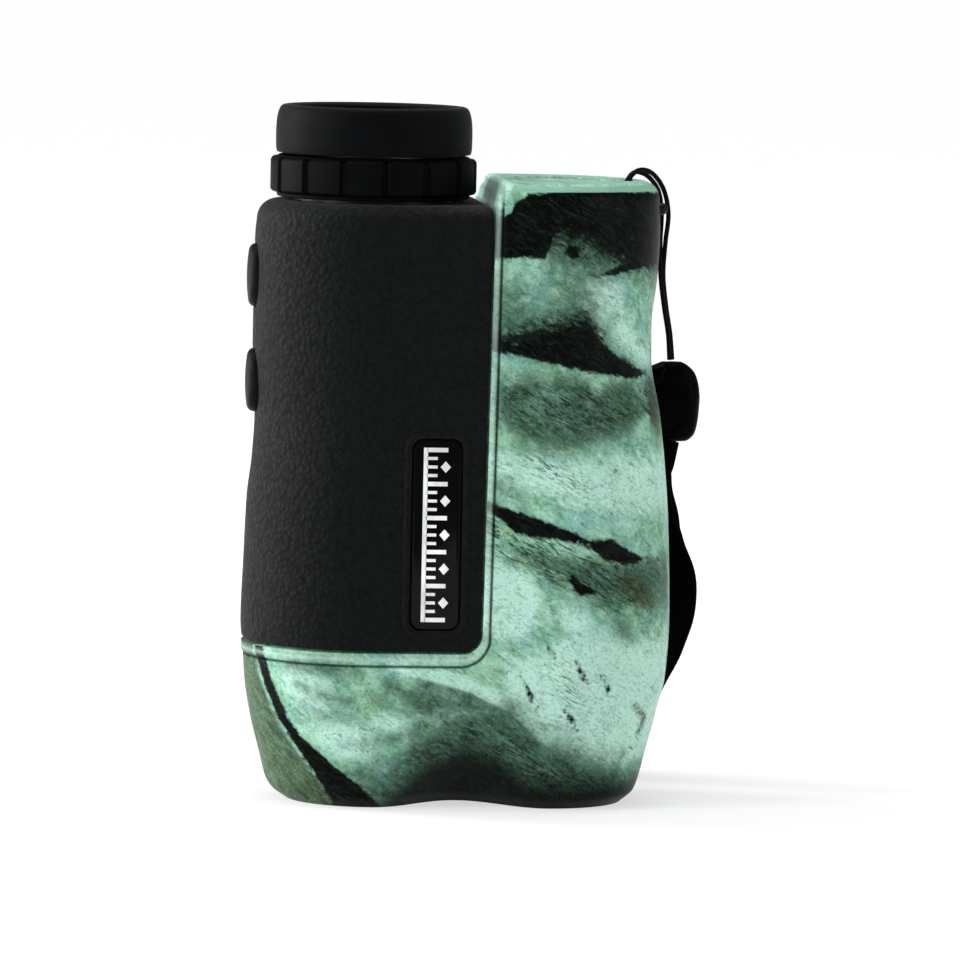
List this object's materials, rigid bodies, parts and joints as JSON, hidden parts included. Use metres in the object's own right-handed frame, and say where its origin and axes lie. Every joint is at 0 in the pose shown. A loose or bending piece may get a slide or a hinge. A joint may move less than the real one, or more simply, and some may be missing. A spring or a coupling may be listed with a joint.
{
  "type": "laser rangefinder",
  "caption": "Upright handheld laser rangefinder with rubber grip panel, twist eyecup, dioptre ring, side buttons, round lens lobes and a corded wrist strap.",
  "frame": {"origin": "centre of the bounding box at its base, without the strap: the plane of the lens-end rims that it stands on", "axes": "+Z from the lens end up to the eyepiece, +X from the button side to the strap side, -Y out of the flank with the badge"},
  "size_m": [0.0783, 0.091, 0.1154],
  "materials": {
    "camo_film": "satin camouflage film on moulded plastic",
    "leatherette": "pebbled leatherette rubber",
    "soft_rubber": "matt rubber",
    "black_plastic": "fine matt",
    "gloss_black": "polished",
    "black_metal": "black anodised",
    "steel": "bright",
    "brass": "bright",
    "lens_glass": "coated",
    "circuit_board": "solder mask",
    "battery_sleeve": "shrink sleeve",
    "strap_nylon": "woven nylon"
  },
  "bodies": {
    "casing": {"front_shell": "camo_film", "back_shell": "camo_film", "grip_panel": "leatherette", "badge_plate": "gloss_black", "case_screw_1": "steel", "case_screw_2": "steel", "case_screw_3": "steel", "case_screw_4": "steel", "case_screw_5": "steel", "objective_bezel": "black_plastic", "objective_cell": "black_metal", "objective_lens": "lens_glass", "receiver_bezel": "black_plastic", "receiver_cell": "black_metal", "receiver_lens": "lens_glass", "prism_cage": "black_plastic", "half_penta_prism": "lens_glass", "roof_prism": "lens_glass", "display_module": "lens_glass", "laser_diode": "steel", "laser_board": "circuit_board", "sensor": "steel", "receiver_board": "circuit_board", "main_board": "circuit_board", "button_board": "circuit_board", "power_switch": "steel", "mode_switch": "steel", "eyepiece_barrel": "black_metal", "battery_tube": "black_plastic", "battery": "battery_sleeve", "battery_spring": "steel", "strap_pin": "steel", "strap_cord": "strap_nylon", "strap_end": "soft_rubber", "strap_webbing": "strap_nylon"},
    "dioptre": {"diopter_ring": "soft_rubber", "eyecup_guide_tube": "black_plastic"},
    "eyepiece": {"eyepiece_cell": "black_metal", "field_lens": "lens_glass", "eye_lens": "lens_glass", "eyepiece_retaining_ring": "black_metal"},
    "eyecup_cam": {"eyecup_cam_ring": "black_plastic"},
    "eyecup": {"eyecup_sleeve": "black_plastic", "eyecup_rubber": "soft_rubber"},
    "power_key": {"power_button": "soft_rubber"},
    "mode_key": {"mode_button": "soft_rubber"},
    "cap_carrier": {"cap_contact": "brass"},
    "cap": {"battery_cap": "black_plastic", "cap_seal": "soft_rubber"}
  },
  "joints": [
    {"name": "dioptre_turn", "type": "hinge", "parent": "casing", "child": "dioptre", "pos_m": [-0.01475, 0, 0.1036], "axis": [0, 0, 1], "range_deg": [-90, 90]},
    {"name": "dioptre_focus", "type": "slide", "parent": "casing", "child": "eyepiece", "axis": [0, 0, 1], "range_m": [-0.00125, 0.00125]},
    {"name": "eyecup_twist", "type": "hinge", "parent": "dioptre", "child": "eyecup_cam", "pos_m": [-0.01475, 0, 0.111], "axis": [0, 0, 1], "range_deg": [0, 90]},
    {"name": "eyecup_rise", "type": "slide", "parent": "eyecup_cam", "child": "eyecup", "axis": [0, 0, 1], "range_m": [0, 0.0045]},
    {"name": "power_press", "type": "slide", "parent": "casing", "child": "power_key", "axis": [1, 0, 0], "range_m": [0, 0.0008], "stiffness_N_per_m": 900},
    {"name": "mode_press", "type": "slide", "parent": "casing", "child": "mode_key", "axis": [1, 0, 0], "range_m": [0, 0.0008], "stiffness_N_per_m": 900},
    {"name": "cap_rise", "type": "slide", "parent": "casing", "child": "cap_carrier", "axis": [0, 0, 1], "range_m": [0, 0.003]},
    {"name": "cap_turn", "type": "hinge", "parent": "cap_carrier", "child": "cap", "pos_m": [0.0152, 0, 0.1], "axis": [0, 0, 1], "range_deg": [0, 720]}
  ],
  "couplings": [
    {"joint": "dioptre_turn", "follows": "dioptre_focus", "rad_per_m": 1256.6},
    {"joint": "eyecup_twist", "follows": "eyecup_rise", "rad_per_m": 349},
    {"joint": "cap_turn", "follows": "cap_rise", "rad_per_m": 4188.7}
  ]
}
